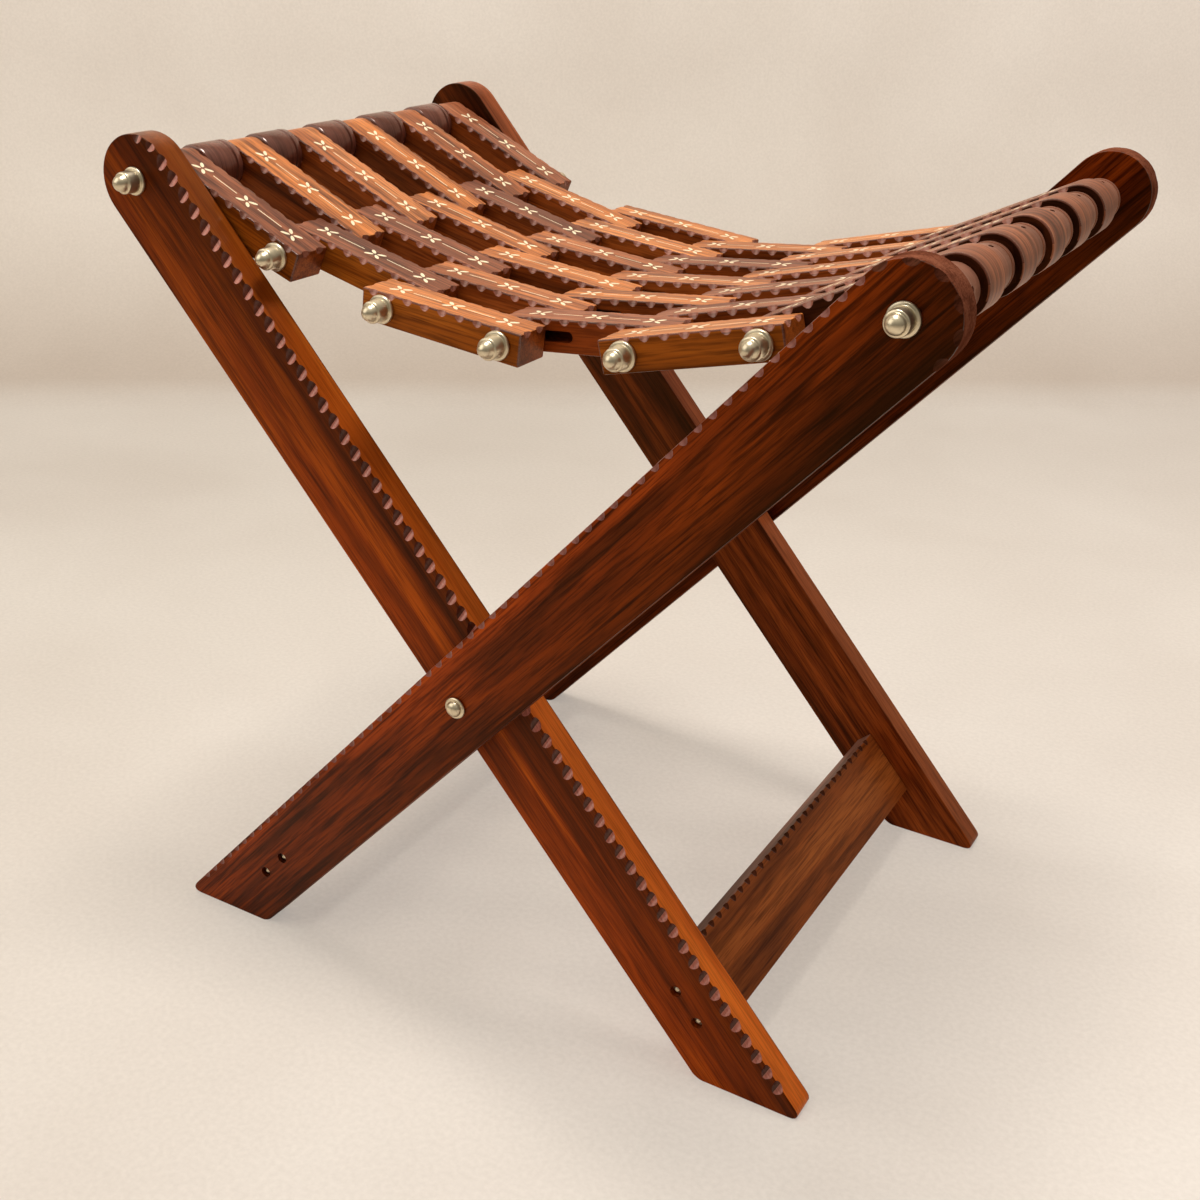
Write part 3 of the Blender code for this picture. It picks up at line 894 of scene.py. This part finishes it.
for count, slot in enumerate(range(1, SLOTS + 1, 2), 1):
    end = OUTER_IN - abs(slot_depth(slot)) - TOUCH if slot in (1, SLOTS) else None
    made = right_ring(f"turned_right_spacer_{count}", end)
    turn = math.pi if slot == 1 else 0.0
    place_spacer(made, "right_frame", slot, turn, "right_spacer_wood", f"right_spacer_{count}")


# Seat slats
SLAT_EASE = 0.0008
SLAT_NOTCH_PITCH = 0.0104
SLAT_NOTCH = (0.0029, 0.0016, 0.0043)
SLAT_END_PITCH = 0.011
SLAT_END_NOTCH = (0.0028, 0.0016, 0.0046)
FIRST_NOTCH_ROUND = 0.004
FIRST_NOTCH_SQUARE = 0.0065
LAST_NOTCH = 0.005
SLIDE = (0.355 * SLAT_PITCH, 0.055 * SLAT_PITCH)


def slat(name, pitch, round_radius=None, slide=None):
    """One slat about its hinge: bored, gouged along its top edges and its square ends.

    Slide gives how far a slot runs to either side of the second hole.
    """
    half = SLAT_HEIGHT / 2
    thick = SLAT_THICKNESS / 2
    end = pitch + SLAT_OVERHANG
    start = -round_radius if round_radius else -SLAT_OVERHANG
    made = block(name, (start, -thick, -half), (end, thick, half))
    tall = half
    if round_radius:
        steep = math.atan2(half, end) + math.acos(round_radius / math.hypot(end, half))
        tall = round_radius * (1.0 + math.cos(steep)) / math.sin(steep)
        pick(made, faces=lambda f: f.normal.x < -0.9)
        bpy.ops.transform.resize(value=(1.0, 1.0, tall / half), center_override=(start, 0.0, 0.0))
        close()
        reach = round_radius * math.tan((math.pi - steep) / 2) * 0.999
        round_edges(made, lambda a, b: max(a.x, b.x) < start + 0.001 and abs(a.z - b.z) < 0.001, reach, 10)
        clean(made, 0.0001)

    def top(x):
        return half + (tall - half) * (end - x) / (end - start)

    soften(made, SLAT_EASE)
    made.data.materials.append(AMBER_SIDE_WOOD)
    made.data.materials.append(ORANGE_WOOD)
    paint(made, ORANGE_WOOD, lambda f: f.normal.z > 0.9 or f.normal.x < -0.3 and bool(round_radius))
    # Painted shade: the flat end faces take the darker side finish.
    paint(made, PAINTED_SHADE_SIDE_WOOD, lambda f: f.normal.x > 0.9 or f.normal.x < -0.9 and not round_radius)
    # Painted shade: the eased edges of the slat's upper part take the darker carved finish.
    paint(made, SLAT_EDGE_PAINTED_SHADE_WOOD, lambda f: 0.25 < abs(f.normal.y) < 0.95 and f.center.z > -0.2 * half)
    cut(made, [bore(x, 0.0, HOLE_RADIUS, 20, AMBER_SIDE_WOOD) for x in (0.0, pitch)])
    if slide:
        low, high = pitch - slide[0], pitch + slide[1]
        gap = block("gap", (low, -THROUGH, -HOLE_RADIUS), (high, THROUGH, HOLE_RADIUS))
        gap.data.materials.append(AMBER_SIDE_WOOD)
        cut(made, [gap])
        for x in (low, high):
            cut(made, [bore(x, 0.0, HOLE_RADIUS, 20, AMBER_SIDE_WOOD)])
    first = FIRST_NOTCH_ROUND if round_radius else -SLAT_OVERHANG + FIRST_NOTCH_SQUARE
    count = int((end - LAST_NOTCH - first) / SLAT_NOTCH_PITCH) + 1
    way = Vector((1.0, 0.0, (top(end) - top(first)) / (end - first))).normalized()
    for face in (-1.0, 1.0):
        row = gouge_row(
            (first, face * thick, top(first)), way, count, SLAT_NOTCH_PITCH,
            (0.0, 0.0, -1.0), (0.0, -face, 0.0), *SLAT_NOTCH, SLAT_CARVED_WOOD,
        )
        cut(made, [row])
    for x, out in ((end, 1.0),) if round_radius else ((end, 1.0), (start, -1.0)):
        row = gouge_row(
            (x, -SLAT_END_PITCH / 2, half), (0.0, 1.0, 0.0), 2, SLAT_END_PITCH,
            (0.0, 0.0, -1.0), (-out, 0.0, 0.0), *SLAT_END_NOTCH, SLAT_CARVED_WOOD,
        )
        cut(made, [row])
    crisp(made, SLAT_CARVED_WOOD)
    smooth(made)
    return made


PETAL_HALF = (0.0027, 0.0012)
PETAL_HEIGHT = 0.0005
PETAL_SUNK = 0.00046
PETAL_OUT = 0.0034
STEM_HALF_LENGTH = 0.0085
STEM_HALF_WIDTH = 0.00028
STEM_SUNK = 0.00035
STEM_PROUD = 0.00004
STEM_ASIDE = 0.0003


def petal_flower():
    """Four petals set crosswise, sunk in the wood and a hair proud of it."""
    deselect()
    bpy.ops.mesh.primitive_circle_add(vertices=14, radius=1.0, fill_type="NGON")
    one = bpy.context.active_object
    one.scale = (*PETAL_HALF, 1.0)
    bpy.ops.object.transform_apply(location=True, rotation=True, scale=True)
    bpy.ops.object.mode_set(mode="EDIT")
    bpy.ops.mesh.select_all(action="SELECT")
    bpy.ops.mesh.extrude_region_move(TRANSFORM_OT_translate={"value": (0.0, 0.0, PETAL_HEIGHT)})
    bpy.ops.transform.resize(value=(0.92, 0.85, 1.0), center_override=(0.0, 0.0, PETAL_HEIGHT))
    close()
    clean(one, 0.000001)
    petals = []
    for degrees in (40.0, 140.0, 220.0, 320.0):
        out = Matrix.Translation((PETAL_OUT, 0.0, -PETAL_SUNK))
        petals.append(settle(copy_of(one, "petal"), Matrix.Rotation(math.radians(degrees), 4, "Z") @ out))
    bpy.data.objects.remove(one, do_unlink=True)
    take(*petals)
    bpy.ops.object.join()
    return bpy.context.active_object


def inlay(name, length):
    """Flowers and stems down the middle of a slat's top, from its middle outwards."""
    flower = petal_flower()
    pieces = []
    for share in (-0.34, 0.0, 0.34):
        pieces.append(settle(copy_of(flower, "flower"), Matrix.Translation((share * length, 0.0, 0.0))))
    for share in (-0.17, 0.17):
        low = (-STEM_HALF_LENGTH, -STEM_HALF_WIDTH, -STEM_SUNK)
        stem = block("stem", low, (STEM_HALF_LENGTH, STEM_HALF_WIDTH, STEM_PROUD))
        pieces.append(settle(stem, Matrix.Translation((share * length, STEM_ASIDE, 0.0))))
    bpy.data.objects.remove(flower, do_unlink=True)
    take(*pieces)
    bpy.ops.object.join()
    made = bpy.context.active_object
    made.name = name
    made.data.materials.append(INLAY)
    return made


SLAT_TOPS = {"m": MAUVE_WOOD, "c": CHESTNUT_WOOD, "o": ORANGE_WOOD}
ROW_COLOURS = {1: "mococm", 2: "mmomo", 3: "ococoo", 4: "mocmo", 5: "ommoco", 6: "mmmmm"}


def side_look(number, slot):
    """Finish of a slat's sides: bright at the front, with painted shade behind and, darkest, in the last
    row.
    """
    if number == 6:
        return SHADED_SIDE_WOOD
    if slot > 2:
        return PAINTED_SHADE_SIDE_WOOD
    return RED_SIDE_WOOD if number == 4 else AMBER_SIDE_WOOD


def seat_row(number, pitch, round_radius=None, slide=None):
    """A row of like slats in every other slot, with their inlays."""
    place = ROW_PLACE[number]
    pattern = slat("slat_pattern", pitch, round_radius, slide)
    end = pitch + SLAT_OVERHANG
    start = 0.0 if round_radius else -SLAT_OVERHANG
    motif = inlay("inlay_pattern", end - start)
    lean = 0.0
    rise = SLAT_HEIGHT / 2
    if round_radius:
        lean = math.asin((round_radius - SLAT_HEIGHT / 2) / end)
        rise = (round_radius + SLAT_HEIGHT / 2) / 2
    on_top = Matrix.Translation(((start + end) / 2, 0.0, rise)) @ Matrix.Rotation(lean, 4, "Y")
    inlays = []
    for count, slot in enumerate(range(1 if number % 2 else 2, SLOTS + 1, 2), 1):
        depth = slot_depth(slot) if number <= 3 else -slot_depth(slot)
        spot = place @ Matrix.Translation((0.0, depth, 0.0))
        made = settle(copy_of(pattern, f"carved_row_{number}_slat_{count}"), spot)
        shade = ROW_COLOURS[number][count - 1]
        made.data.materials[0] = side_look(number, slot)
        made.data.materials[1] = SLAT_TOPS[shade]
        lay_grain(made, spot, number * 7 + count, lengthwise if round_radius else Vector)
        pale = "light_slat_wood" if shade == "o" else "dark_slat_wood"
        seat(made, f"row_{number}", pale, f"row_{number}_slat_{count}")
        inlays.append(settle(copy_of(motif, "inlay"), spot @ on_top))
    bpy.data.objects.remove(pattern, do_unlink=True)
    bpy.data.objects.remove(motif, do_unlink=True)
    take(*inlays)
    bpy.ops.object.join()
    made = bpy.context.active_object
    made.name = f"row_{number}_inlay"
    seat(made, f"row_{number}", "brass")


seat_row(1, END_PITCH, LEFT_END_RADIUS)
seat_row(2, SLAT_PITCH)
seat_row(3, SLAT_PITCH)
seat_row(4, SLAT_PITCH, slide=SLIDE)
seat_row(5, SLAT_PITCH)
seat_row(6, END_PITCH, RIGHT_END_RADIUS)

# Camera, at the photograph's angle
AZIMUTH, ELEVATION, ROLL = math.radians(29.2279), math.radians(25.3459), math.radians(2.0647)
CAMERA_SPOT = Vector((0.3954, -0.7317, 0.5786))
SENSOR_WIDTH = 36.0
LENS_IN_PIXELS = 1530.64
PICTURE_PIXELS = 1200.0
back = Vector((
    math.sin(AZIMUTH) * math.cos(ELEVATION), -math.cos(AZIMUTH) * math.cos(ELEVATION), math.sin(ELEVATION)
))
right = Vector((0.0, 0.0, 1.0)).cross(back).normalized()
up = back.cross(right)
image_x = right * math.cos(ROLL) + up * math.sin(ROLL)
image_y = up * math.cos(ROLL) - right * math.sin(ROLL)
bpy.ops.object.camera_add()
camera = bpy.context.active_object
camera.name = "photo_camera"
turn = Matrix((image_x, image_y, back)).transposed().to_4x4()
camera.matrix_world = Matrix.Translation(CAMERA_SPOT) @ turn
camera.data.sensor_width = SENSOR_WIDTH
camera.data.lens = SENSOR_WIDTH * LENS_IN_PIXELS / PICTURE_PIXELS
camera.data.clip_start = 0.01
scene.camera = camera

# Pale studio floor that sweeps up into a wall
FLOOR_HALF = 8.0
WALL_HEIGHT = 3.0
SWEEP_RADIUS = 0.35
SWEEP_ANGLE = AZIMUTH + math.radians(6.6)
SWEEP_DISTANCE = 1.75
deselect()
bpy.ops.mesh.primitive_plane_add(size=2 * FLOOR_HALF)
floor = bpy.context.active_object
floor.name = "studio_floor"
pick(floor, edges=lambda a, b: min(a.y, b.y) > FLOOR_HALF - 0.1)
bpy.ops.mesh.extrude_region_move(TRANSFORM_OT_translate={"value": (0.0, 0.0, WALL_HEIGHT)})
close()
round_edges(floor, lambda a, b: min(a.y, b.y) > FLOOR_HALF - 0.1 and max(a.z, b.z) < 0.1, SWEEP_RADIUS, 12)
view_way = Vector((-math.sin(AZIMUTH), math.cos(AZIMUTH), 0.0))
sweep_turn = Matrix.Rotation(SWEEP_ANGLE, 4, "Z")
sweep_start = Vector((CAMERA_SPOT.x, CAMERA_SPOT.y, 0.0)) + view_way * SWEEP_DISTANCE
sweep_back = Matrix.Translation((0.0, SWEEP_RADIUS - FLOOR_HALF, 0.0))
settle(floor, Matrix.Translation(sweep_start) @ sweep_turn @ sweep_back)
smooth(floor, 60.0)
CLOUD_STRETCH = (3.5, 3.5, 3.5)
CLOUD_TONES = ((0.34, (0.745, 0.675, 0.595)), (0.66, (0.8, 0.735, 0.655)))
SPECK_STRETCH = (320.0, 320.0, 320.0)
SPECK_TONES = ((0.3, (0.96, 0.955, 0.95)), (0.7, (1.03, 1.03, 1.03)))
# Painted light and shade on the backdrop: the wall grows lighter as it rises, with a darker band where it
# leaves the floor; the right side is lighter than the left, and the floor darkens towards the wall.
HEIGHT_TONES = (
    (0.0, PLAIN), (0.012, (0.87, 0.82, 0.78)), (0.17, (1.18, 1.16, 1.14)), (0.6, (1.38, 1.39, 1.4)),
)
SIDEWAYS_TONES = ((0.25, (0.92, 0.92, 0.93)), (0.75, (1.07, 1.07, 1.1)))
INWARD_TONES = ((0.0, (1.02, 1.02, 1.03)), (0.5, PLAIN), (0.87, (0.87, 0.86, 0.85)))
GLOW_SHARE = 0.5


def share_of(nodes, links, value, low, high):
    """How far a value lies between two others."""
    made = nodes.new("ShaderNodeMapRange")
    made.inputs["From Min"].default_value = low
    made.inputs["From Max"].default_value = high
    links.new(value, made.inputs["Value"])
    return made.outputs["Result"]


made, nodes, links, shader = finish("pale_floor", 0.85)
where = nodes.new("ShaderNodeTexCoord")
cloud = stretched_noise(nodes, links, where.outputs["Object"], CLOUD_STRETCH, 6.0, 0.3)
tone = ramp(nodes, CLOUD_TONES)
links.new(cloud, tone.inputs["Fac"])
speck = stretched_noise(nodes, links, where.outputs["Object"], SPECK_STRETCH, 3.0, 0.0)
split = nodes.new("ShaderNodeSeparateXYZ")
links.new(where.outputs["Object"], split.inputs["Vector"])
sideways = share_of(nodes, links, split.outputs["X"], -1.0, 1.0)
away = nodes.new("ShaderNodeVectorMath")
away.operation = "DOT_PRODUCT"
away.inputs[1].default_value = (-math.sin(SWEEP_ANGLE), math.cos(SWEEP_ANGLE), 0.0)
links.new(where.outputs["Object"], away.inputs[0])
inward = share_of(nodes, links, away.outputs["Value"], -0.6, 0.95)
pale = tone.outputs["Color"]
for value, stops in (
    (speck, SPECK_TONES), (split.outputs["Z"], HEIGHT_TONES),
    (sideways, SIDEWAYS_TONES), (inward, INWARD_TONES),
):
    pale = graded(nodes, links, pale, value, stops)
links.new(pale, shader.inputs["Base Color"])
shader.inputs["Specular IOR Level"].default_value = 0.1
# Painted light: for the camera, half of the floor's colour glows, which keeps the floor pale and lightens
# the shadows cast on it.
glow = nodes.new("ShaderNodeEmission")
links.new(pale, glow.inputs["Color"])
path = nodes.new("ShaderNodeLightPath")
half_seen = nodes.new("ShaderNodeMath")
half_seen.operation = "MULTIPLY"
half_seen.inputs[1].default_value = GLOW_SHARE
links.new(path.outputs["Is Camera Ray"], half_seen.inputs[0])
blend = nodes.new("ShaderNodeMixShader")
links.new(half_seen.outputs["Value"], blend.inputs["Fac"])
links.new(shader.outputs["BSDF"], blend.inputs[1])
links.new(glow.outputs["Emission"], blend.inputs[2])
links.new(blend.outputs["Shader"], nodes["Material Output"].inputs["Surface"])
floor.data.materials.append(made)


# Soft light
def soft_light(name, spot, aim, size, watts, colour):
    """A large soft lamp turned to a point."""
    deselect()
    bpy.ops.object.light_add(type="AREA", location=spot)
    lamp = bpy.context.active_object
    lamp.name = name
    lamp.data.size = size
    lamp.data.energy = watts
    lamp.data.color = colour
    lamp.rotation_euler = (Vector(aim) - Vector(spot)).to_track_quat("-Z", "Y").to_euler()


soft_light("overhead_light", (-0.05, 0.12, 2.3), (0.0, 0.0, 0.0), 0.5, 33.0, (1.0, 0.95, 0.88))
soft_light("left_light", (-1.3, -1.3, 1.5), (0.0, 0.0, 0.25), 1.8, 17.0, (1.0, 0.94, 0.84))

# Air: a soft sky for the light, a plain tone where it is seen
SKY_TONES = ((0.0, (0.18, 0.16, 0.13)), (0.3, (0.25, 0.228, 0.19)), (0.9, (0.62, 0.57, 0.475)))
SEEN_TONE = (0.66, 0.57, 0.47, 1.0)
world = bpy.data.worlds.new("studio_air")
scene.world = world
world.use_nodes = True
nodes = world.node_tree.nodes
links = world.node_tree.links
where = nodes.new("ShaderNodeTexCoord")
split = nodes.new("ShaderNodeSeparateXYZ")
links.new(where.outputs["Generated"], split.inputs["Vector"])
sky = ramp(nodes, SKY_TONES)
links.new(split.outputs["Z"], sky.inputs["Fac"])
path = nodes.new("ShaderNodeLightPath")
seen = nodes.new("ShaderNodeMix")
seen.data_type = "RGBA"
links.new(path.outputs["Is Camera Ray"], seen.inputs[0])
links.new(sky.outputs["Color"], seen.inputs[6])
seen.inputs[7].default_value = SEEN_TONE
links.new(seen.outputs[2], nodes["Background"].inputs["Color"])
